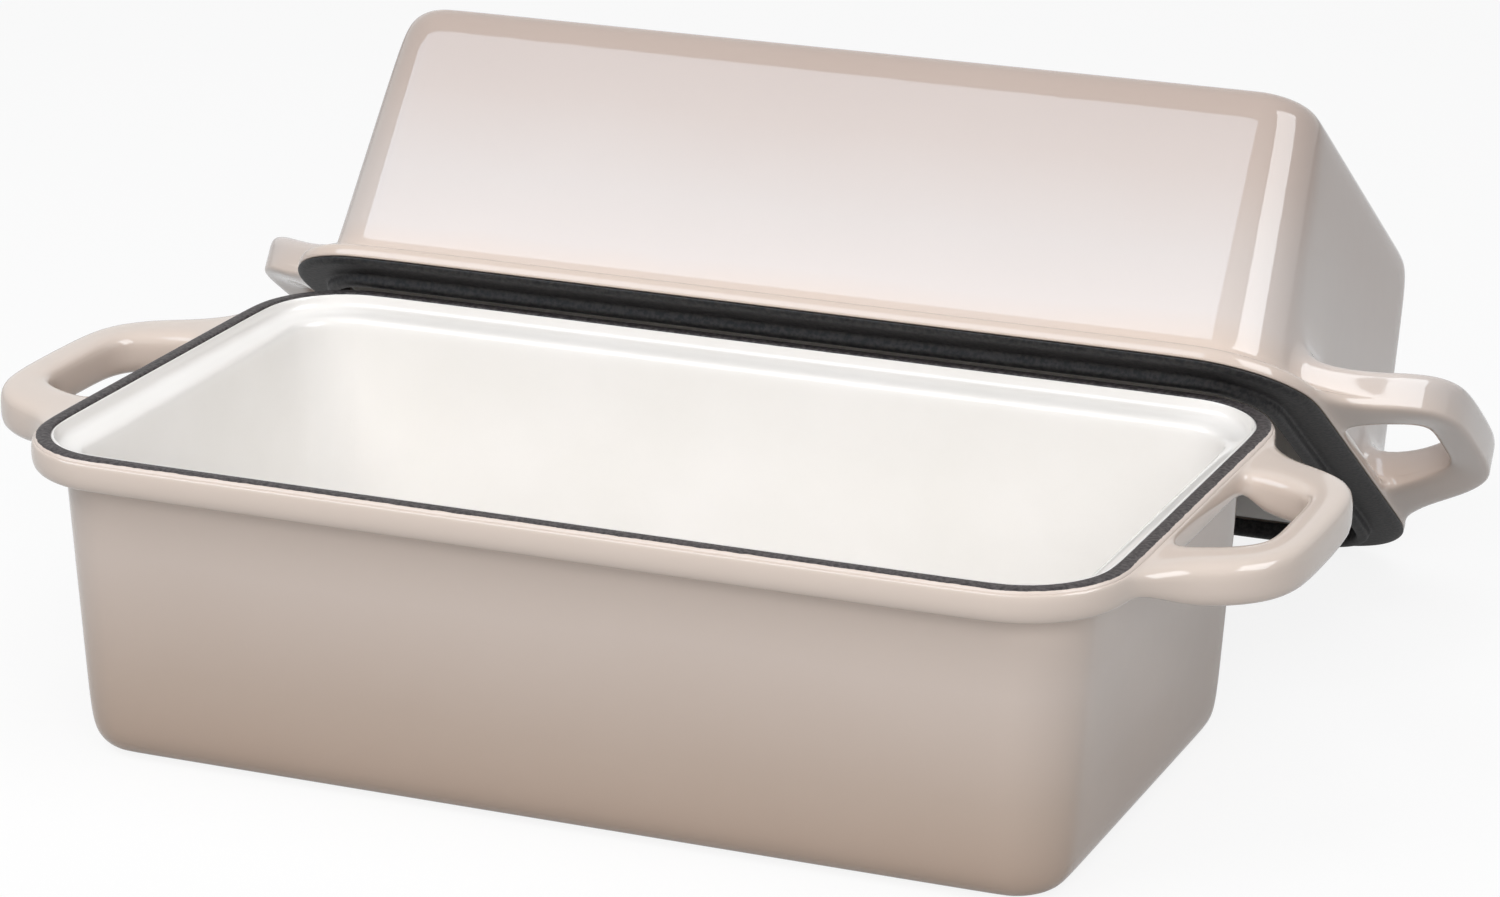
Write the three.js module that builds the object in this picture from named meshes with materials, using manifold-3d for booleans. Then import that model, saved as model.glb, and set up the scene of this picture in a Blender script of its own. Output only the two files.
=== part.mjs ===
// Cast iron loaf pan with a deep lid. The lid is off: it leans behind the pan,
// its lip on the pan's back rim and its back edge on the table.
// Millimetres, +Z up. X runs along the loaf, Y points to the back, and the
// origin is the centre of the pan's underside.

import * as THREE from 'three';
import { mergeVertices } from 'three/addons/utils/BufferGeometryUtils.js';
import Module from 'manifold-3d';

const wasm = await Module();
wasm.setup();

// The pan's opening, measured inside the bare iron band: a 9 by 5 inch loaf.
const OPENING_LENGTH = 229;
const OPENING_WIDTH = 127;
const OPENING_CORNER = 18.5;

// The walls of both castings.
const WALL = 4;
const FLOOR = 5;
const DRAFT = THREE.MathUtils.degToRad(3.7);
const BASE_ROUND = 7.1;
const CAVITY_ROUND = 9;
const ENAMEL_LINING = 0.8;

// The flange round each mouth, and the bare iron on it.
const FLANGE_HEIGHT = 7.7;
const FLANGE_ROUND = 3.6;
const FLANGE_OVERHANG = 7.1;
const BAND_WIDTH = 2.8;
const BAND_THICKNESS = 1.6;

// The pan. Its mouth has a rebate that takes the lid's lip.
const PAN_HEIGHT = 69;
const PAN_WALL_INSET = 2.4;
const REBATE_DEPTH = 3.8;
const REBATE_DRAFT = 0.6;
const SHELF_ROUND = 1.4;

// The lid, a second and slightly larger vessel with a lip on its rim.
const LID_DEPTH = 68;
const LID_OVERHANG = 2;
const LID_FLANGE_HEIGHT = 6;
const LID_FLANGE_ROUND = 3;
const LIP_HEIGHT = 2.5;
const LIP_THICKNESS = 3.2;
const LIP_CLEARANCE = 1;
const LIP_ROUND = 1;

// The loop handle at each end of both castings.
const HANDLE_REACH = 25.5;
const HANDLE_ROOT_WIDTH = 80;
const HANDLE_END_WIDTH = 57;
const HANDLE_CORNER = 14;
const HANDLE_THICKNESS = 9.5;
const HANDLE_EDGE_ROUND = 3.5;
const HANDLE_DROP = 1.5;
const HANDLE_BAR = 8.5;
const LOOP_ROOT_WIDTH = 53;
const LOOP_END_WIDTH = 35;
const LOOP_CORNER = 6;
const LID_HANDLE_SLOPE = THREE.MathUtils.degToRad(16);

// Where the lid leans, and the small gaps between touching pieces.
const LID_SIDE_SHIFT = -2.4;
const JOIN_GAP = 0.3;
const REST_GAP = 0.3;

// Facets.
const CORNER_STEPS = 6;
const ARC_STEPS = 2;

const HALF_TURN = Math.PI;
const QUARTER_TURN = Math.PI / 2;

const pan = {
  depth: PAN_HEIGHT,
  wallOffset: -PAN_WALL_INSET,
  flangeOffset: -PAN_WALL_INSET + FLANGE_OVERHANG,
  flangeHeight: FLANGE_HEIGHT,
  flangeRound: FLANGE_ROUND,
};

const lid = {
  depth: LID_DEPTH,
  wallOffset: -PAN_WALL_INSET + LID_OVERHANG,
  flangeOffset: -PAN_WALL_INSET + FLANGE_OVERHANG + LID_OVERHANG,
  flangeHeight: LID_FLANGE_HEIGHT,
  flangeRound: LID_FLANGE_ROUND,
};

// Both castings are a profile carried round a rounded rectangle. A profile
// point holds its offset outward from the opening's edge, and its height
// above the closed end.
function roundedRectangle(offset) {
  const radius = Math.max(OPENING_CORNER + offset, 0.5);
  const coreX = OPENING_LENGTH / 2 + offset - radius;
  const coreY = OPENING_WIDTH / 2 + offset - radius;
  const points = [];
  [[1, 1], [-1, 1], [-1, -1], [1, -1]].forEach(([signX, signY], corner) => {
    for (let step = 0; step <= CORNER_STEPS; step += 1) {
      const angle = (corner + step / CORNER_STEPS) * QUARTER_TURN;
      points.push(new THREE.Vector2(
        signX * coreX + radius * Math.cos(angle),
        signY * coreY + radius * Math.sin(angle),
      ));
    }
  });
  return points;
}

function profilePoints(path) {
  const points = [];
  path.getPoints(ARC_STEPS).forEach((point) => {
    const last = points[points.length - 1];
    if (!last || last.distanceTo(point) > 1e-3) points.push(point);
  });
  return points;
}

// A closed profile makes a ring. An open one is capped at both ends.
function sweep(path, closed) {
  const profile = profilePoints(path);
  if (closed && profile[0].distanceTo(profile[profile.length - 1]) < 1e-3) profile.pop();
  const positions = [];
  const triangles = [];
  profile.forEach((point) => {
    roundedRectangle(point.x).forEach((corner) => positions.push(corner.x, corner.y, point.y));
  });
  const around = roundedRectangle(0).length;
  const bands = closed ? profile.length : profile.length - 1;
  for (let band = 0; band < bands; band += 1) {
    const low = band * around;
    const high = ((band + 1) % profile.length) * around;
    for (let i = 0; i < around; i += 1) {
      const next = (i + 1) % around;
      triangles.push(low + i, low + next, high + next);
      triangles.push(low + i, high + next, high + i);
    }
  }
  if (!closed) {
    const last = (profile.length - 1) * around;
    const startCentre = positions.length / 3;
    positions.push(0, 0, profile[0].y);
    const endCentre = positions.length / 3;
    positions.push(0, 0, profile[profile.length - 1].y);
    for (let i = 0; i < around; i += 1) {
      const next = (i + 1) % around;
      triangles.push(startCentre, next, i);
      triangles.push(endCentre, last + i, last + next);
    }
  }
  const geometry = new THREE.BufferGeometry();
  geometry.setAttribute('position', new THREE.Float32BufferAttribute(positions, 3));
  geometry.setIndex(triangles);
  return geometry;
}

// Offset of a wall's outer face at a height above the closed end.
function wallOffset(shell, height) {
  return shell.wallOffset - (shell.depth - shell.flangeHeight - height) * Math.tan(DRAFT);
}

// The outside, from the closed end up to the side of the flange. A grown copy
// leaves room for what meets the casting.
function outsidePath(shell, grow = 0) {
  const path = new THREE.Path();
  const rootZ = shell.depth - shell.flangeHeight - grow;
  const wall = shell.wallOffset + grow;
  const flange = shell.flangeOffset + grow;
  const baseEdge = wallOffset(shell, BASE_ROUND) + grow - BASE_ROUND;
  path.moveTo(baseEdge, -grow);
  path.absellipse(baseEdge, BASE_ROUND, BASE_ROUND, BASE_ROUND + grow, -QUARTER_TURN, 0, false);
  path.lineTo(wall, rootZ);
  path.absellipse(wall, rootZ + shell.flangeRound, flange - wall, shell.flangeRound, -QUARTER_TURN, 0, false);
  return path;
}

// The cavity from a height near the mouth down to the floor. A depth behind
// the enamel's face gives the back of the enamel, or the iron behind it.
function addCavity(path, shell, behind) {
  const floorZ = FLOOR - behind;
  const round = CAVITY_ROUND + behind;
  const floorEdge = wallOffset(shell, FLOOR + CAVITY_ROUND) - WALL - CAVITY_ROUND;
  path.absellipse(floorEdge, FLOOR + CAVITY_ROUND, round, round, 0, -QUARTER_TURN, true);
  path.lineTo(floorEdge, floorZ);
}

// The pan's rebate: a steep wall, a shelf that ends the lip's seat, and a
// rounded edge over to the wall below.
function addRebate(path, behind, topZ) {
  const shelfZ = PAN_HEIGHT - REBATE_DEPTH;
  const outer = -REBATE_DRAFT + behind;
  const inner = wallOffset(pan, shelfZ - SHELF_ROUND) - WALL + behind;
  const hollow = SHELF_ROUND + behind;
  const edge = SHELF_ROUND - behind;
  path.lineTo(behind, topZ);
  path.absellipse(outer - hollow, shelfZ + SHELF_ROUND, hollow, hollow, 0, -QUARTER_TURN, true);
  path.absellipse(inner + edge, shelfZ - SHELF_ROUND, edge, edge, QUARTER_TURN, HALF_TURN, false);
}

const IRON_BEHIND = ENAMEL_LINING + JOIN_GAP;
const BAND_SEAT = BAND_THICKNESS + JOIN_GAP;
const LIP_OUTER = -LIP_CLEARANCE;
const LIP_INNER = LIP_OUTER - LIP_THICKNESS;

function panBodyPath() {
  const path = outsidePath(pan);
  const edgeRound = pan.flangeOffset - BAND_WIDTH - JOIN_GAP;
  path.absellipse(BAND_WIDTH + JOIN_GAP, PAN_HEIGHT - edgeRound, edgeRound, edgeRound, 0, QUARTER_TURN, false);
  path.lineTo(BAND_WIDTH + JOIN_GAP, PAN_HEIGHT - BAND_SEAT);
  addRebate(path, IRON_BEHIND, PAN_HEIGHT - BAND_SEAT);
  addCavity(path, pan, IRON_BEHIND);
  return path;
}

function panLiningPath() {
  const path = new THREE.Path();
  const topZ = PAN_HEIGHT - BAND_SEAT;
  const back = new THREE.Path();
  back.moveTo(ENAMEL_LINING, topZ);
  addRebate(back, ENAMEL_LINING, topZ);
  addCavity(back, pan, ENAMEL_LINING);
  const backPoints = profilePoints(back).reverse();
  path.setFromPoints(backPoints);
  addRebate(path, 0, topZ);
  addCavity(path, pan, 0);
  return path;
}

function panRimPath() {
  const path = new THREE.Path();
  path.moveTo(BAND_WIDTH, PAN_HEIGHT - BAND_THICKNESS);
  path.lineTo(BAND_WIDTH, PAN_HEIGHT);
  path.lineTo(0, PAN_HEIGHT);
  path.lineTo(0, PAN_HEIGHT - BAND_THICKNESS);
  path.closePath();
  return path;
}

function lidBodyPath() {
  const path = outsidePath(lid);
  const seatZ = LID_DEPTH - BAND_SEAT;
  path.lineTo(lid.flangeOffset, seatZ);
  path.lineTo(LIP_INNER + IRON_BEHIND, seatZ);
  addCavity(path, lid, IRON_BEHIND);
  return path;
}

function lidLiningPath() {
  const path = new THREE.Path();
  const topZ = LID_DEPTH - BAND_SEAT;
  const back = new THREE.Path();
  back.moveTo(LIP_INNER + ENAMEL_LINING, topZ);
  addCavity(back, lid, ENAMEL_LINING);
  path.setFromPoints(profilePoints(back).reverse());
  path.lineTo(LIP_INNER, topZ);
  addCavity(path, lid, 0);
  return path;
}

// The black underside of the lid's flange, with the lip that drops into the
// pan's rebate.
function lidRimPath() {
  const path = new THREE.Path();
  const bandZ = LID_DEPTH - BAND_THICKNESS;
  const tipZ = LID_DEPTH + LIP_HEIGHT;
  path.moveTo(lid.flangeOffset, bandZ);
  path.absellipse(lid.flangeOffset - BAND_THICKNESS, bandZ, BAND_THICKNESS, BAND_THICKNESS,
    0, QUARTER_TURN, false);
  path.lineTo(LIP_OUTER, LID_DEPTH);
  path.absellipse(LIP_OUTER - LIP_ROUND, tipZ - LIP_ROUND, LIP_ROUND, LIP_ROUND, 0, QUARTER_TURN, false);
  path.absellipse(LIP_INNER + LIP_ROUND, tipZ - LIP_ROUND, LIP_ROUND, LIP_ROUND,
    QUARTER_TURN, HALF_TURN, false);
  path.lineTo(LIP_INNER, bandZ);
  path.closePath();
  return path;
}

// Half of the handle's plan runs from the root to the middle of the outer bar,
// with X outward from the flange. The other half is its mirror image.
function handleOutline(inside) {
  const root = new THREE.Vector2(-FLANGE_OVERHANG, HANDLE_ROOT_WIDTH / 2);
  const corner = new THREE.Vector2(HANDLE_REACH, HANDLE_END_WIDTH / 2);
  const loopRoot = new THREE.Vector2(-FLANGE_OVERHANG, LOOP_ROOT_WIDTH / 2);
  const loopCorner = new THREE.Vector2(HANDLE_REACH - HANDLE_BAR, LOOP_END_WIDTH / 2);
  return inside ? roundCorner(loopRoot, loopCorner, LOOP_CORNER) : roundCorner(root, corner, HANDLE_CORNER);
}

// A straight side, then the rounding at its outer corner.
function roundCorner(start, corner, radius) {
  const along = corner.clone().sub(start).normalize();
  const end = new THREE.Vector2(corner.x, 0);
  const turn = Math.acos(along.dot(new THREE.Vector2(0, -1)));
  const leg = radius * Math.tan(turn / 2);
  const before = corner.clone().addScaledVector(along, -leg);
  const after = new THREE.Vector2(corner.x, corner.y - leg);
  const path = new THREE.Path();
  path.moveTo(start.x, start.y);
  path.lineTo(before.x, before.y);
  path.quadraticCurveTo(corner.x, corner.y, after.x, after.y);
  path.lineTo(end.x, end.y);
  return path.getPoints(2 * ARC_STEPS);
}

function mirrored(points) {
  return points.slice(0, -1).reverse().map((point) => new THREE.Vector2(point.x, -point.y));
}

function handleGeometry() {
  const outer = handleOutline(false);
  const loop = handleOutline(true);
  const outline = [...outer, ...mirrored(outer)];
  const loopLine = [...loop, ...mirrored(loop)].reverse();
  const shape = new THREE.Shape([...outline, ...loopLine]);
  const geometry = new THREE.ExtrudeGeometry(shape, {
    depth: HANDLE_THICKNESS - 2 * HANDLE_EDGE_ROUND,
    bevelThickness: HANDLE_EDGE_ROUND,
    bevelSize: HANDLE_EDGE_ROUND,
    bevelOffset: -HANDLE_EDGE_ROUND,
    bevelSegments: ARC_STEPS,
  });
  geometry.translate(0, 0, HANDLE_EDGE_ROUND - HANDLE_THICKNESS / 2);
  return geometry;
}

function toManifold(geometry) {
  const bare = geometry.clone();
  bare.deleteAttribute('normal');
  bare.deleteAttribute('uv');
  const merged = mergeVertices(bare);
  return new wasm.Manifold(new wasm.Mesh({
    numProp: 3,
    vertProperties: new Float32Array(merged.getAttribute('position').array),
    triVerts: new Uint32Array(merged.getIndex().array),
  }));
}

function fromManifold(solid) {
  const { vertProperties, triVerts } = solid.getMesh();
  const geometry = new THREE.BufferGeometry();
  geometry.setAttribute('position', new THREE.BufferAttribute(vertProperties, 3));
  geometry.setIndex(new THREE.BufferAttribute(triVerts, 1));
  return geometry;
}

// A handle on the right end, fitted to the flange. The left one is the same
// handle turned half way round.
function fittedHandle(shell, slope, side) {
  const flangeFace = OPENING_LENGTH / 2 + shell.flangeOffset;
  const middleZ = shell.depth - HANDLE_DROP - HANDLE_THICKNESS / 2;
  const handle = handleGeometry();
  handle.rotateY(slope);
  handle.translate(flangeFace, 0, middleZ);
  if (side === 'left') handle.rotateZ(HALF_TURN);
  const clearance = outsidePath(shell, JOIN_GAP);
  clearance.lineTo(shell.flangeOffset + JOIN_GAP, shell.depth + HANDLE_THICKNESS);
  const casting = toManifold(sweep(clearance, false));
  return fromManifold(toManifold(handle).subtract(casting));
}

// The lid's tilt is where its back edge meets the table while its lip meets
// the pan's rim.
function lidLean() {
  const halfWidth = OPENING_WIDTH / 2;
  const edge = [...profilePoints(lidRimPath()), ...profilePoints(outsidePath(lid))];
  const drop = (tilt) => Math.max(...edge.map((point) => (
    (halfWidth + point.x) * Math.sin(tilt) + (point.y - LID_DEPTH) * Math.cos(tilt))));
  const front = profilePoints(lidRimPath());
  const rise = (tilt) => Math.min(...front.filter((point) => point.y > LID_DEPTH).map((point) => (
    (halfWidth + point.x) * Math.sin(tilt) - (point.y - LID_DEPTH) * Math.cos(tilt))));
  let low = 0;
  let high = QUARTER_TURN;
  for (let step = 0; step < 50; step += 1) {
    const tilt = (low + high) / 2;
    if (drop(tilt) + rise(tilt) < PAN_HEIGHT + REST_GAP) low = tilt;
    else high = tilt;
  }
  const restY = halfWidth + BAND_WIDTH / 2;
  return {
    tilt: low,
    y: restY + (halfWidth + LIP_OUTER) * Math.cos(low) + LIP_HEIGHT * Math.sin(low),
    z: drop(low),
  };
}

const enamel = { color: '#dccbc0', roughness: 0.2, metalness: 0 };
const cream = { color: '#f3f0eb', roughness: 0.2, metalness: 0 };
const bareIron = { color: '#45403e', roughness: 0.7, metalness: 0.4 };
const blackIron = { color: '#1d1d1f', roughness: 0.55, metalness: 0.2 };

function piece(name, geometry, finish) {
  const mesh = new THREE.Mesh(geometry, new THREE.MeshStandardMaterial(finish));
  mesh.name = name;
  return mesh;
}

const panGroup = new THREE.Group();
panGroup.add(
  piece('pan_body', sweep(panBodyPath(), false), enamel),
  piece('pan_lining', sweep(panLiningPath(), false), cream),
  piece('pan_rim', sweep(panRimPath(), true), bareIron),
  piece('pan_handle_left', fittedHandle(pan, 0, 'left'), enamel),
  piece('pan_handle_right', fittedHandle(pan, 0, 'right'), enamel),
);

// The lid is modelled mouth up, like the pan, then turned over and leaned.
const lidVessel = new THREE.Group();
lidVessel.position.z = -LID_DEPTH;
lidVessel.add(
  piece('lid_body', sweep(lidBodyPath(), false), enamel),
  piece('lid_lining', sweep(lidLiningPath(), false), cream),
  piece('lid_rim', sweep(lidRimPath(), true), blackIron),
  piece('lid_handle_left', fittedHandle(lid, LID_HANDLE_SLOPE, 'left'), enamel),
  piece('lid_handle_right', fittedHandle(lid, LID_HANDLE_SLOPE, 'right'), enamel),
);

const lean = lidLean();
const lidGroup = new THREE.Group();
lidGroup.add(lidVessel);
lidGroup.rotation.x = HALF_TURN - lean.tilt;
lidGroup.position.set(LID_SIDE_SHIFT, lean.y, lean.z);

const loafPan = new THREE.Group();
loafPan.add(panGroup, lidGroup);

export default loafPan;
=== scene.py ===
import bpy
import bmesh
from math import atan2, cos, pi, radians, sin
from mathutils import Matrix, Vector


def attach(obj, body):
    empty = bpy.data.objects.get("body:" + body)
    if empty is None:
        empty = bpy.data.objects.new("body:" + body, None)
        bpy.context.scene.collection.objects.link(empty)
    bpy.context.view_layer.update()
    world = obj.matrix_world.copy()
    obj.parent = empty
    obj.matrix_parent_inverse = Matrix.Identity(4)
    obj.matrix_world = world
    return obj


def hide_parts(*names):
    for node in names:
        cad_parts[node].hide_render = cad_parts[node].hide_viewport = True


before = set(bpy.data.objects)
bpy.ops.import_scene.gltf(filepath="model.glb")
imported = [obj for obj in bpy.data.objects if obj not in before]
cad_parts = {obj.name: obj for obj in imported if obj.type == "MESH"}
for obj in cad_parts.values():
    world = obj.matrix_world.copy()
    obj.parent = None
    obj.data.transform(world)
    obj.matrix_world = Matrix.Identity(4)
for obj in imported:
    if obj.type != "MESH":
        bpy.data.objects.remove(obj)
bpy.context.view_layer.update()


# Pan casting: the wall, the rolled flange and both loop handles are one piece
# of grey iron, poured in a sand mould and sprayed outside with vitreous enamel
# that fades from blush at the flange to taupe at the foot.
MM = 0.001
CORNER_X = 96.0
CORNER_Y = 45.0
OPENING_RADIUS = 18.5
OPENING_END = CORNER_X + OPENING_RADIUS
PAN_HEIGHT = 69.0
PAN_FLANGE_FACE = 4.68

# Steps round the corners and along the sides, how often they are smoothed, and
# how near two places count as one, in millimetres.
CORNER_STEPS = 6
LONG_SIDE_STEPS = (32.0, 32.0, 32.0)
HANDLE_ROOT_STEPS = (11.0, 11.0)
CASTING_END_STEPS = HANDLE_ROOT_STEPS + (5.0, 18.0)
SMOOTH_LEVELS = 2
SAME_PLACE = 0.01
OFF_AXIS = 0.05
MIRROR_JOIN = 0.02

# A cut through the wall, as offset outward from the edge of the opening and
# height above the foot: the enamelled face, then the face behind the lining.
PAN_OUTSIDE = (
    (-17.0, 0.0), (-12.8, 0.0), (-9.3, 0.9), (-6.9, 3.4), (-5.85, 7.5), (-5.05, 20.0),
    (-3.5, 44.0), (-2.8, 55.0), (-2.5, 59.4), (-2.3, 61.0), (-1.5, 61.4), (0.9, 61.5),
    (3.2, 61.8), (4.4, 62.8), (4.72, 65.2), (4.5, 67.6), (4.1, 68.1),
)
PAN_BEHIND = (
    (3.6, 67.9), (3.0, 67.2), (1.2, 67.0), (0.6, 66.2), (-1.2, 64.9), (-3.4, 64.4),
    (-4.9, 63.4), (-5.2, 60.6), (-5.6, 55.0), (-8.1, 14.0), (-9.2, 8.0), (-12.0, 4.6),
    (-17.4, 3.9),
)

# Plan of one half of a loop handle, outward from the flange: the outer and the
# inner edge of the bar at each turn of it.
HANDLE_TURNS = (
    ((7.5, 36.8), (3.8, 23.2)), ((14.5, 33.6), (10.0, 20.6)), ((20.8, 28.4), (14.6, 17.4)),
    ((24.4, 21.4), (16.6, 13.4)), ((25.4, 12.0), (17.0, 8.0)), ((25.5, 0.0), (17.0, 0.0)),
)


def pick(piece, kind, test):
    """Selects the faces or the verts whose place in millimetres passes."""
    bpy.ops.mesh.select_mode(type="FACE" if kind == "faces" else "VERT")
    bpy.ops.mesh.select_all(action="DESELECT")
    mesh = bmesh.from_edit_mesh(piece.data)
    for element in getattr(mesh, kind):
        place = element.calc_center_median() if kind == "faces" else element.co
        if test(place / MM):
            element.select_set(True)
    mesh.select_flush(True)
    bmesh.update_edit_mesh(piece.data)


def pull(step):
    """Extrudes what is selected by a step in metres."""
    bpy.ops.mesh.extrude_region_move(TRANSFORM_OT_translate={"value": step})


def apply_modifier(piece, kind, **settings):
    """Adds a modifier with its settings and applies it."""
    bpy.ops.object.modifier_add(type=kind)
    modifier = piece.modifiers[-1]
    for name, value in settings.items():
        setattr(modifier, name, value)
    bpy.ops.object.modifier_apply(modifier=modifier.name)


def spun_quarter(name, profile, end_steps):
    """A profile of offsets and heights, spun round one corner of the loaf
    shape and pulled out straight to the middle of each side."""
    bpy.ops.object.select_all(action="DESELECT")
    bpy.ops.mesh.primitive_plane_add(size=MM)
    piece = bpy.context.object
    piece.name = name
    piece.data.name = name
    bpy.ops.object.mode_set(mode="EDIT")
    bpy.ops.mesh.select_mode(type="VERT")
    bpy.ops.mesh.merge(type="CENTER")
    corner = Vector((OPENING_END, CORNER_Y, 0.0))
    start = Vector((profile[0][0], 0.0, profile[0][1]))
    bpy.ops.transform.translate(value=(corner + start) * MM)
    for (offset, height), (next_offset, next_height) in zip(profile, profile[1:]):
        pull(Vector((next_offset - offset, 0.0, next_height - height)) * MM)
    bpy.ops.mesh.select_all(action="SELECT")
    bpy.ops.mesh.spin(steps=CORNER_STEPS, angle=-pi / 2, axis=(0, 0, 1),
                      center=(CORNER_X * MM, CORNER_Y * MM, 0))
    pick(piece, "verts", lambda p: (
        abs(p.x - CORNER_X) < SAME_PLACE and abs(p.y - CORNER_Y) > OFF_AXIS))
    for step in LONG_SIDE_STEPS:
        pull((-step * MM, 0, 0))
    pick(piece, "verts", lambda p: (
        abs(p.y - CORNER_Y) < SAME_PLACE and p.x > CORNER_X + OFF_AXIS))
    for step in end_steps:
        pull((0, -step * MM, 0))
    bpy.ops.mesh.select_all(action="SELECT")
    bpy.ops.mesh.remove_doubles(threshold=SAME_PLACE * MM)
    return piece


def pull_handle(piece, flange, depth, low, high, bottom, top, slope):
    """Half of a loop handle, pulled from the end of the flange and turned to
    meet its other half at the middle. It grows from the band low to high of
    the flange's face, no deeper than depth, into a bar from bottom to top
    that droops by slope."""
    root = CORNER_Y
    tip = root - sum(HANDLE_ROOT_STEPS)
    pick(piece, "faces", lambda p: (
        p.x > flange - depth and tip < p.y < root and low < p.z < high))
    growth = (top - bottom) / (high - low)
    centre = Vector((flange, (root + tip) / 2, (low + high) / 2))
    heading, width = 0.0, root - tip
    for turn, (outer, inner) in enumerate(HANDLE_TURNS):
        across = Vector((outer[0] - inner[0], outer[1] - inner[1], 0.0))
        reach = (outer[0] + inner[0]) / 2
        target = Vector((flange + reach * cos(slope), (outer[1] + inner[1]) / 2,
                         (bottom + top) / 2 - reach * sin(slope)))
        pull((target - centre) * MM)
        if turn == 0:
            bpy.ops.transform.resize(value=(0, 1, growth), center_override=target * MM)
        now = atan2(across.x, across.y)
        bpy.ops.transform.rotate(
            value=now - heading, orient_axis="Z", center_override=target * MM)
        grow = across.length / width
        bpy.ops.transform.resize(value=(grow, grow, 1), center_override=target * MM)
        centre, heading, width = target, now, across.length
    bpy.ops.mesh.delete(type="FACE")


def mirror_quarter(piece):
    """The quarter mirrored to all four, and left in edit mode."""
    bpy.ops.object.mode_set(mode="OBJECT")
    apply_modifier(piece, "MIRROR", use_axis=(True, True, False),
                   merge_threshold=MIRROR_JOIN * MM)
    bpy.ops.object.mode_set(mode="EDIT")


def soften_edges(piece, inside):
    """Turns all faces one way and rounds the piece as the sand mould does."""
    bpy.ops.mesh.select_all(action="SELECT")
    bpy.ops.mesh.normals_make_consistent(inside=inside)
    bpy.ops.object.mode_set(mode="OBJECT")
    apply_modifier(piece, "SUBSURF", levels=SMOOTH_LEVELS, render_levels=SMOOTH_LEVELS)


def whole_casting(piece):
    """All four quarters as one solid, with the open ends closed."""
    mirror_quarter(piece)
    bpy.ops.mesh.select_all(action="SELECT")
    bpy.ops.mesh.fill_holes(sides=0)
    soften_edges(piece, inside=False)
    bpy.ops.object.shade_smooth()


pan_casting = spun_quarter("pan_casting", PAN_OUTSIDE + PAN_BEHIND, CASTING_END_STEPS)
pull_handle(pan_casting, flange=OPENING_END + PAN_FLANGE_FACE, depth=0.6,
            low=62.8, high=67.6, bottom=58.3, top=67.8, slope=0.0)
whole_casting(pan_casting)


def linear(shade):
    """An sRGB hex shade as linear red, green, blue and alpha."""
    channels = [int(shade[i:i + 2], 16) / 255 for i in (1, 3, 5)]
    return [c / 12.92 if c <= 0.04045 else ((c + 0.055) / 1.055) ** 2.4
            for c in channels] + [1.0]


def new_finish(name):
    """A material with no nodes yet."""
    finish = bpy.data.materials.new(name)
    finish.use_nodes = True
    finish.node_tree.nodes.clear()
    return finish


def add_node(finish, kind, sockets=None, stops=(), **settings):
    """A node with its settings, its sockets linked or set, and the stops of
    its ramp."""
    node = finish.node_tree.nodes.new(kind)
    for name, value in settings.items():
        setattr(node, name, value)
    for name, value in (sockets or {}).items():
        if isinstance(value, bpy.types.NodeSocket):
            finish.node_tree.links.new(value, node.inputs[name])
        else:
            node.inputs[name].default_value = value
    if stops:
        elements = node.color_ramp.elements
        while len(elements) < len(stops):
            elements.new(0.5)
        for element, (place, shade) in zip(elements, stops):
            element.position = place
            element.color = linear(shade)
    return node


def from_rim(finish, rim_place, rim_turn):
    """Places on a casting, measured from the middle of its own rim."""
    where = add_node(finish, "ShaderNodeTexCoord")
    own = add_node(finish, "ShaderNodeMapping", {
        "Vector": where.outputs["Object"], "Location": rim_place, "Rotation": rim_turn},
        vector_type="TEXTURE")
    return own.outputs["Vector"]


# Vitreous enamel, sprayed wet and fired: a deep gloss over a soft fade of
# colour, with the slight ripple that the glass keeps when it cools. Sizes of
# the patterns are in millimetres.
ENAMEL_IOR = 1.52
SPRAY_DRIFT = 45.0
SPRAY_SHARE = 0.10
SPRAY_RIPPLE = 9.0
RIPPLE_DEPTH = 0.12
RIPPLE_STRENGTH = 0.25
SPRAY_ROUGHNESS = (0.04, 0.08)


def fired_enamel(name, rim_place, rim_turn, depth, fade_and_painted_tint):
    finish = new_finish(name)
    own = from_rim(finish, rim_place, rim_turn)
    axes = add_node(finish, "ShaderNodeSeparateXYZ", {"Vector": own})
    drift = add_node(finish, "ShaderNodeTexNoise", {
        "Vector": own, "Scale": 1 / (SPRAY_DRIFT * MM), "Detail": 2.0})
    height = add_node(finish, "ShaderNodeMapRange", {
        "Value": axes.outputs["Z"], "From Min": -depth * MM, "From Max": 0.0})
    wander = add_node(finish, "ShaderNodeMath", {
        0: drift.outputs["Fac"], 1: SPRAY_SHARE, 2: height.outputs["Result"]},
        operation="MULTIPLY_ADD")
    level = add_node(finish, "ShaderNodeMath", {
        0: wander.outputs[0], 1: SPRAY_SHARE / 2}, operation="SUBTRACT")
    # On the lid these shades also hold painted reflection: cooler and greyer than the pan's
    # fade.
    colour = add_node(finish, "ShaderNodeValToRGB", {"Fac": level.outputs[0]}, stops=fade_and_painted_tint)
    peel = add_node(finish, "ShaderNodeTexNoise", {
        "Vector": own, "Scale": 1 / (SPRAY_RIPPLE * MM), "Detail": 1.5})
    ripple = add_node(finish, "ShaderNodeBump", {
        "Height": peel.outputs["Fac"], "Strength": RIPPLE_STRENGTH,
        "Distance": RIPPLE_DEPTH * MM})
    gloss = add_node(finish, "ShaderNodeMapRange", {
        "Value": drift.outputs["Fac"],
        "To Min": SPRAY_ROUGHNESS[0], "To Max": SPRAY_ROUGHNESS[1]})
    glass = add_node(finish, "ShaderNodeBsdfPrincipled", {
        "Base Color": colour.outputs["Color"], "Roughness": gloss.outputs["Result"],
        "IOR": ENAMEL_IOR, "Normal": ripple.outputs["Normal"]})
    add_node(finish, "ShaderNodeOutputMaterial", {"Surface": glass.outputs["BSDF"]})
    return finish


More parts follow.
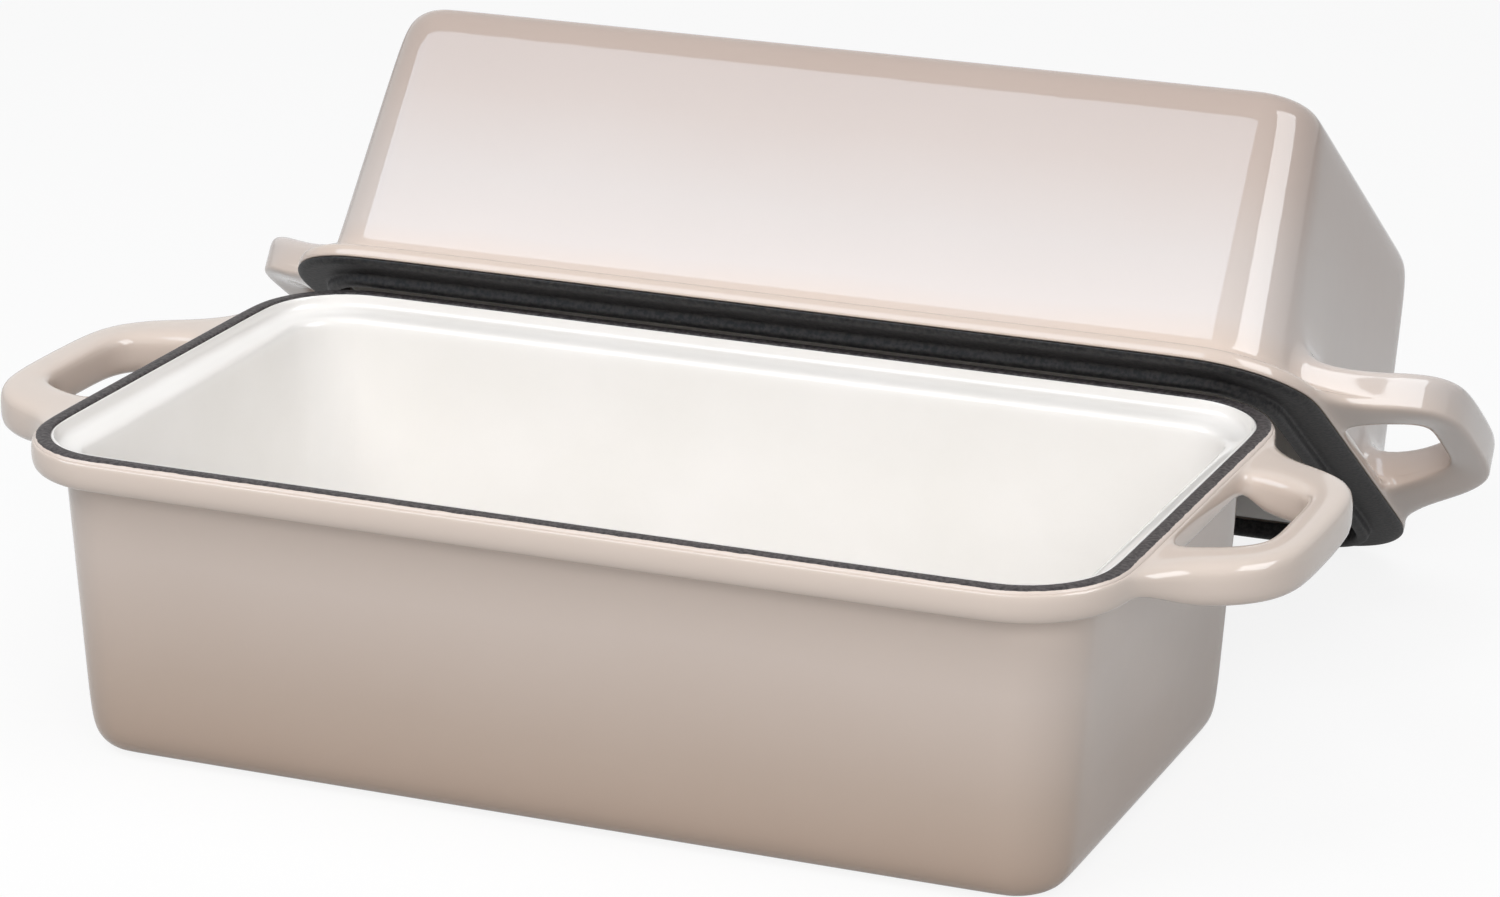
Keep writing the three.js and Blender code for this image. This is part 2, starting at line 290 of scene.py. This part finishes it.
# Shades of the pan's enamel, from the foot at 0 to the rim at 1.
PAN_FADE = ((0.0, "#b39c8b"), (0.3, "#bfac9e"), (0.65, "#d2c3b9"), (0.95, "#d7c8bd"))
PAN_RIM_PLACE = (0, 0, PAN_HEIGHT * MM)
PAN_RIM_TURN = (0, 0, 0)
pan_casting.data.materials.append(fired_enamel(
    "blush_enamel_on_pan", PAN_RIM_PLACE, PAN_RIM_TURN, PAN_HEIGHT, PAN_FADE))
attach(pan_casting, "pan")
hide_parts("pan_body", "pan_handle_left", "pan_handle_right")


# Pan lining: a second coat of enamel, cream and glossy, poured inside and
# swilled round. It softens the rebate that takes the lid's lip.
LINING_FACE = (
    (-0.1, 68.75), (-0.35, 68.2), (-0.5, 67.4), (-0.8, 66.5), (-1.7, 65.8), (-3.2, 65.4),
    (-5.0, 65.0), (-6.1, 64.2), (-6.5, 62.6), (-6.8, 56.0), (-7.6, 44.0), (-8.6, 28.0),
    (-9.2, 16.0), (-10.2, 10.6), (-12.4, 7.0), (-15.2, 5.3), (-18.2, 5.0),
)
LINING_THICKNESS = 0.7
PLAIN_END_STEPS = (15.0, 15.0, 15.0)


def lining_shell(name, face):
    """The face of a lining, closed at its floor and given its thickness."""
    piece = spun_quarter(name, face, PLAIN_END_STEPS)
    mirror_quarter(piece)
    floor = face[-1][1]
    pick(piece, "verts", lambda p: abs(p.z - floor) < SAME_PLACE)
    bpy.ops.mesh.edge_face_add()
    soften_edges(piece, inside=True)
    apply_modifier(piece, "SOLIDIFY", thickness=LINING_THICKNESS * MM)
    bpy.ops.object.shade_smooth()
    return piece


pan_lining = lining_shell("pan_inner_enamel", LINING_FACE)


# Cream enamel, poured and fired: clean white gloss, a little warm where the
# coat is thin. It ripples as the sprayed enamel does, a little closer.
POUR_CLOUD = 30.0
POUR_RIPPLE = 8.0
POUR_ROUGHNESS = (0.06, 0.11)
CREAM_SHADES = ((0.3, "#eeebe7"), (0.7, "#f2efec"))


def cream_enamel(name):
    finish = new_finish(name)
    where = add_node(finish, "ShaderNodeTexCoord")
    cloud = add_node(finish, "ShaderNodeTexNoise", {
        "Vector": where.outputs["Object"], "Scale": 1 / (POUR_CLOUD * MM), "Detail": 3.0})
    colour = add_node(finish, "ShaderNodeValToRGB", {"Fac": cloud.outputs["Fac"]},
                      stops=CREAM_SHADES)
    peel = add_node(finish, "ShaderNodeTexNoise", {
        "Vector": where.outputs["Object"], "Scale": 1 / (POUR_RIPPLE * MM), "Detail": 1.5})
    ripple = add_node(finish, "ShaderNodeBump", {
        "Height": peel.outputs["Fac"], "Strength": RIPPLE_STRENGTH,
        "Distance": RIPPLE_DEPTH * MM})
    gloss = add_node(finish, "ShaderNodeMapRange", {
        "Value": cloud.outputs["Fac"],
        "To Min": POUR_ROUGHNESS[0], "To Max": POUR_ROUGHNESS[1]})
    glass = add_node(finish, "ShaderNodeBsdfPrincipled", {
        "Base Color": colour.outputs["Color"], "Roughness": gloss.outputs["Result"],
        "IOR": ENAMEL_IOR, "Normal": ripple.outputs["Normal"]})
    add_node(finish, "ShaderNodeOutputMaterial", {"Surface": glass.outputs["BSDF"]})
    return finish


pan_lining.data.materials.append(cream_enamel("cream_enamel_in_pan"))
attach(pan_lining, "pan")
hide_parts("pan_lining")


# Pan rim: the flat ring at the top of the wall, ground level after casting
# and left bare, with the two enamels ending in a ragged line on it.
RIM_RING = (
    (0.5, 67.6), (0.45, 68.3), (0.55, 68.85), (0.95, 69.0), (1.6, 69.0), (2.5, 69.0),
    (3.3, 68.85), (3.9, 68.4), (4.15, 67.8), (3.6, 67.3), (1.6, 67.2), (0.5, 67.6),
)
pan_rim = spun_quarter("pan_bare_rim", RIM_RING, PLAIN_END_STEPS)
whole_casting(pan_rim)

# How far from the opening's edge each enamel ends on the ring and its shade
# there, the width and depth of the tears in that line, and the line's own width.
CREAM_EDGE, CREAM_EDGE_SHADE = 0.45, "#f1ece6"
BLUSH_EDGE, BLUSH_EDGE_SHADE = 3.6, "#dccdc3"
TEAR_WIDTH = 2.2
TEAR_DEPTH = 0.6
EDGE_WIDTH = 0.12
BARE_ROUGHNESS = 0.55
EDGE_ROUGHNESS = 0.08


def ragged_edges(finish, own, iron):
    """Both enamels where they end on bare iron: the colour and roughness."""
    axes = add_node(finish, "ShaderNodeSeparateXYZ", {"Vector": own})
    past = {}
    for axis, corner in (("X", CORNER_X), ("Y", CORNER_Y)):
        side = add_node(finish, "ShaderNodeMath", {0: axes.outputs[axis]}, operation="ABSOLUTE")
        over = add_node(finish, "ShaderNodeMath", {
            0: side.outputs[0], 1: corner * MM}, operation="SUBTRACT")
        past[axis] = add_node(finish, "ShaderNodeMath", {
            0: over.outputs[0], 1: 0.0}, operation="MAXIMUM").outputs[0]
    reach = add_node(finish, "ShaderNodeCombineXYZ", past)
    far = add_node(finish, "ShaderNodeVectorMath", {0: reach.outputs[0]}, operation="LENGTH")
    ragged = add_node(finish, "ShaderNodeTexNoise", {
        "Vector": own, "Scale": 1 / (TEAR_WIDTH * MM), "Detail": 3.0})
    across = add_node(finish, "ShaderNodeMath", {
        0: far.outputs["Value"], 1: axes.outputs["Z"]}, operation="SUBTRACT")
    tear = add_node(finish, "ShaderNodeMath", {
        0: ragged.outputs["Fac"], 1: TEAR_DEPTH * MM, 2: across.outputs[0]},
        operation="MULTIPLY_ADD")
    offset = add_node(finish, "ShaderNodeMath", {
        0: tear.outputs[0], 1: (OPENING_RADIUS + TEAR_DEPTH / 2) * MM}, operation="SUBTRACT")
    cream = add_node(finish, "ShaderNodeMapRange", {
        "Value": offset.outputs[0], "From Min": CREAM_EDGE * MM,
        "From Max": (CREAM_EDGE - EDGE_WIDTH) * MM})
    blush = add_node(finish, "ShaderNodeMapRange", {
        "Value": offset.outputs[0], "From Min": BLUSH_EDGE * MM,
        "From Max": (BLUSH_EDGE + EDGE_WIDTH) * MM})
    within = add_node(finish, "ShaderNodeMix", {
        "Factor": cream.outputs["Result"], 6: iron, 7: linear(CREAM_EDGE_SHADE)},
        data_type="RGBA")
    shade = add_node(finish, "ShaderNodeMix", {
        "Factor": blush.outputs["Result"], 6: within.outputs[2], 7: linear(BLUSH_EDGE_SHADE)},
        data_type="RGBA")
    coat = add_node(finish, "ShaderNodeMath", {
        0: cream.outputs["Result"], 1: blush.outputs["Result"]}, operation="MAXIMUM")
    matt = add_node(finish, "ShaderNodeMapRange", {
        "Value": coat.outputs[0], "To Min": BARE_ROUGHNESS, "To Max": EDGE_ROUGHNESS})
    return shade.outputs[2], matt.outputs["Result"]


# Bare grey iron, ground and oiled: near black and matt, with pale grains where
# the grinder caught it. The grain is drawn at 0.9 mm, coarser than real, to show.
IRON_GRAIN = 0.9
PIT_DEPTH = 0.15
PIT_STRENGTH = 0.6
IRON_SPECULAR = 0.3


def bare_iron(name, rim_place, rim_turn, dark, pale, meets_enamel):
    finish = new_finish(name)
    own = from_rim(finish, rim_place, rim_turn)
    grain = add_node(finish, "ShaderNodeTexNoise", {
        "Vector": own, "Scale": 1 / (IRON_GRAIN * MM), "Detail": 3.0})
    iron = add_node(finish, "ShaderNodeValToRGB", {"Fac": grain.outputs["Fac"]},
                    stops=((0.38, dark), (0.62, pale)))
    colour, roughness = iron.outputs["Color"], BARE_ROUGHNESS
    if meets_enamel:
        colour, roughness = ragged_edges(finish, own, colour)
    pits = add_node(finish, "ShaderNodeBump", {
        "Height": grain.outputs["Fac"], "Strength": PIT_STRENGTH, "Distance": PIT_DEPTH * MM})
    metal = add_node(finish, "ShaderNodeBsdfPrincipled", {
        "Base Color": colour, "Roughness": roughness,
        "Specular IOR Level": IRON_SPECULAR, "Normal": pits.outputs["Normal"]})
    add_node(finish, "ShaderNodeOutputMaterial", {"Surface": metal.outputs["BSDF"]})
    return finish


pan_rim.data.materials.append(bare_iron(
    "bare_iron_on_pan_rim", PAN_RIM_PLACE, PAN_RIM_TURN, "#252122", "#4b4646",
    meets_enamel=True))
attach(pan_rim, "pan")
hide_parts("pan_rim")


# Lid casting: a second vessel, 2 mm larger all round, cast and enamelled like
# the pan. It lies mouth down, its front lip on the pan's back rim and its back
# edge on the table.
LID_DEPTH = 68.0
LID_FLANGE_FACE = 6.7
LID_HANDLE_DROOP = radians(16)
LID_OUTSIDE = (
    (-15.0, 0.0), (-10.8, 0.0), (-7.5, 0.9), (-5.2, 3.4), (-4.1, 7.5), (-3.2, 20.0),
    (-1.7, 44.0), (-0.95, 56.0), (-0.65, 59.8), (-0.1, 61.6), (1.2, 62.6), (3.4, 62.7),
    (5.4, 63.0), (6.5, 63.9), (6.75, 65.4), (6.65, 66.4),
)
LID_BEHIND = (
    (6.0, 66.3), (4.0, 66.1), (-2.6, 66.0), (-3.4, 65.0), (-3.8, 56.0), (-6.4, 14.0),
    (-7.5, 8.0), (-10.3, 4.6), (-16.8, 3.9),
)

# The middle of the lid's rim and its turn about X, from the two edges that the
# lid rests on.
LID_RIM_PLACE = Vector((-2.4, 118.352, 38.178)) * MM
LID_LEAN = pi - radians(33.580)
LID_RIM_TURN = (LID_LEAN, 0, 0)


def lean_lid(piece):
    """Takes a piece of the lid, modelled mouth up, to where the lid leans."""
    rim_height = Vector((0, 0, LID_DEPTH * MM))
    piece.rotation_euler = LID_RIM_TURN
    piece.location = LID_RIM_PLACE - Matrix.Rotation(LID_LEAN, 3, "X") @ rim_height
    bpy.ops.object.transform_apply(location=True, rotation=True, scale=True)


lid_casting = spun_quarter("lid_casting", LID_OUTSIDE + LID_BEHIND, CASTING_END_STEPS)
pull_handle(lid_casting, flange=OPENING_END + LID_FLANGE_FACE, depth=8.7,
            low=56.0, high=65.4, bottom=55.9, top=65.5, slope=LID_HANDLE_DROOP)
whole_casting(lid_casting)
lean_lid(lid_casting)

# Shades of the lid's enamel, from its closed end at 0 to the rim at 1: its fade, cooler and
# greyer than the pan's below the flange as painted reflection of the cool light above.
LID_FADE_AND_PAINTED_REFLECTION = (
    (0.0, "#b6a49a"), (0.3, "#c0b0a7"), (0.6, "#cbc0ba"), (0.8, "#d2c7c1"), (0.92, "#d6c5b9"),
)
lid_casting.data.materials.append(fired_enamel(
    "blush_enamel_on_lid", LID_RIM_PLACE, LID_RIM_TURN, LID_DEPTH, LID_FADE_AND_PAINTED_REFLECTION))
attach(lid_casting, "lid")
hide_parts("lid_body", "lid_handle_left", "lid_handle_right")


# Lid lining: the same cream enamel inside the lid, poured and fired like the
# pan's. It runs from the lip up the walls and over the closed end.
LID_LINING_FACE = (
    (-4.3, 66.2), (-4.4, 65.0), (-4.7, 58.0), (-5.5, 45.0), (-6.6, 28.0), (-7.4, 16.0),
    (-8.4, 10.6), (-10.6, 7.0), (-13.4, 5.3), (-16.6, 5.0),
)
lid_lining = lining_shell("lid_inner_enamel", LID_LINING_FACE)
lean_lid(lid_lining)
lid_lining.data.materials.append(cream_enamel("cream_enamel_in_lid"))
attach(lid_lining, "lid")
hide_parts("lid_lining")


# Lid rim: the underside of the lid's flange and the lip that drops into the
# pan, left as cast and blackened, with a grainy face.
LID_RIM_RING = (
    (5.0, 66.5), (6.5, 66.5), (6.7, 66.8), (6.25, 67.45), (5.5, 67.9), (4.4, 68.0),
    (1.0, 68.0), (-0.5, 68.0), (-0.95, 68.3), (-1.0, 69.0), (-1.1, 69.8), (-1.5, 70.3),
    (-2.1, 70.5), (-3.1, 70.5), (-3.75, 70.3), (-4.1, 69.7), (-4.2, 68.4), (-4.15, 66.8),
    (-3.4, 66.4), (5.0, 66.5),
)
lid_rim = spun_quarter("lid_black_rim", LID_RIM_RING, PLAIN_END_STEPS)
whole_casting(lid_rim)
lean_lid(lid_rim)
lid_rim.data.materials.append(bare_iron(
    "black_iron_on_lid_rim", LID_RIM_PLACE, LID_RIM_TURN, "#121214", "#2d2b2b",
    meets_enamel=False))
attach(lid_rim, "lid")
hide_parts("lid_rim")


# Studio: a white table that runs past the frame, an even white room, a soft
# box over the front and left, a fill from the front right, a light overhead,
# two white cards that only the gloss shows, and the camera.
TABLE_SIZE = 8.0
WHITE = linear("#ffffff")


def seeing_rays(finish):
    """Rays that show a surface: straight to the camera, by way of gloss or
    glass, and either."""
    rays = add_node(finish, "ShaderNodeLightPath")
    mirrored = add_node(finish, "ShaderNodeMath", {
        0: rays.outputs["Is Glossy Ray"], 1: rays.outputs["Is Transmission Ray"]},
        operation="ADD")
    either = add_node(finish, "ShaderNodeMath", {
        0: rays.outputs["Is Camera Ray"], 1: mirrored.outputs[0]},
        operation="ADD", use_clamp=True)
    return rays.outputs["Is Camera Ray"], mirrored.outputs[0], either.outputs[0]


# White table top, painted and matt: it shows white, keeps part of the shadow on
# it, and throws less light back up than it shows.
SHOWN_WHITE = 0.87
MIRRORED_WHITE = 0.35
PAINT_UNSEEN = 0.42
PAINT_SEEN = 0.9
bpy.ops.object.select_all(action="DESELECT")
bpy.ops.mesh.primitive_plane_add(size=TABLE_SIZE, location=(0, 0, 0))
table = bpy.context.object
table.name = "studio_table"
table_top = new_finish("white_table_top")
straight, mirrored, either = seeing_rays(table_top)
shown = add_node(table_top, "ShaderNodeMath", {
    0: straight, 1: SHOWN_WHITE}, operation="MULTIPLY")
lift = add_node(table_top, "ShaderNodeMath", {
    0: mirrored, 1: MIRRORED_WHITE, 2: shown.outputs[0]},
    operation="MULTIPLY_ADD", use_clamp=True)
pale = add_node(table_top, "ShaderNodeMapRange", {
    "Value": either, "To Min": PAINT_UNSEEN, "To Max": PAINT_SEEN})
paint = add_node(table_top, "ShaderNodeBsdfDiffuse", {"Color": pale.outputs["Result"]})
glow = add_node(table_top, "ShaderNodeEmission", {"Color": WHITE, "Strength": 1.0})
top = add_node(table_top, "ShaderNodeMixShader", {
    "Fac": lift.outputs[0], 1: paint.outputs["BSDF"], 2: glow.outputs["Emission"]})
add_node(table_top, "ShaderNodeOutputMaterial", {"Surface": top.outputs["Shader"]})
table.data.materials.append(table_top)

# White room: it shows at full white and lights the object by a share of that.
ROOM_LIGHT = 0.235
room = bpy.data.worlds.new("white_room")
room.use_nodes = True
room.node_tree.nodes.clear()
_, _, either = seeing_rays(room)
seen = add_node(room, "ShaderNodeMapRange", {
    "Value": either, "To Min": ROOM_LIGHT, "To Max": 1.0})
wall = add_node(room, "ShaderNodeBackground", {
    "Color": WHITE, "Strength": seen.outputs["Result"]})
add_node(room, "ShaderNodeOutputWorld", {"Surface": wall.outputs["Background"]})
bpy.context.scene.world = room

# Each lamp's name, place, aim, width and height in metres, roll in degrees,
# watts and shade, whether it lights surfaces, and whether the gloss shows it.
LAMPS = (
    ("soft_box", (-0.51, -0.67, 1.17), (0.0, 0.07, 0.09),
     0.9, 0.62, 0.0, 7.7, "#ffffff", True, False),
    ("front_fill", (0.65, -1.38, 0.80), (0.0, 0.0, 0.04),
     1.2, 0.8, 0.0, 13.5, "#ffffff", True, False),
    ("top_light", (0.40, -0.10, 1.46), (0.0, 0.03, 0.0),
     1.1, 1.1, 0.0, 7.8, "#f7fbff", True, False),
    ("front_card", (-0.672, -0.754, 1.146), (0.0, 0.088, 0.10),
     2.0, 0.97, 29.0, 22.6, "#dceeff", False, True),
    ("right_card", (1.10, -0.03, 0.92), (0.103, 0.09, 0.10),
     0.75, 1.0, -43.0, 14.0, "#f4faff", False, True),
)
for lamp_name, place, aim, width, height, roll, power, shade, lights, shines in LAMPS:
    bpy.ops.object.light_add(type="AREA", location=place)
    lamp = bpy.context.object
    lamp.name = lamp_name
    lamp.data.shape = "RECTANGLE"
    lamp.data.size = width
    lamp.data.size_y = height
    lamp.data.energy = power
    lamp.data.color = linear(shade)[:3]
    lamp.visible_diffuse = lights
    lamp.visible_glossy = shines
    facing = (Vector(aim) - Vector(place)).to_track_quat("-Z", "Y").to_matrix()
    lamp.rotation_euler = (facing @ Matrix.Rotation(radians(roll), 3, "Z")).to_euler()

CAMERA_PLACE = (0.3913, -0.9036, 0.3840)
CAMERA_HEADING = Matrix.Rotation(radians(22.29), 3, "Z")
CAMERA_PITCH = Matrix.Rotation(radians(72.0), 3, "X")
CAMERA_ROLL = Matrix.Rotation(radians(0.37), 3, "Z")
bpy.ops.object.camera_add(location=CAMERA_PLACE)
camera = bpy.context.object
camera.name = "front_camera"
camera.rotation_euler = (CAMERA_HEADING @ CAMERA_PITCH @ CAMERA_ROLL).to_euler()
camera.data.sensor_width = 36.0
camera.data.lens = 119.83
bpy.context.scene.camera = camera
bpy.context.scene.view_settings.view_transform = "Standard"
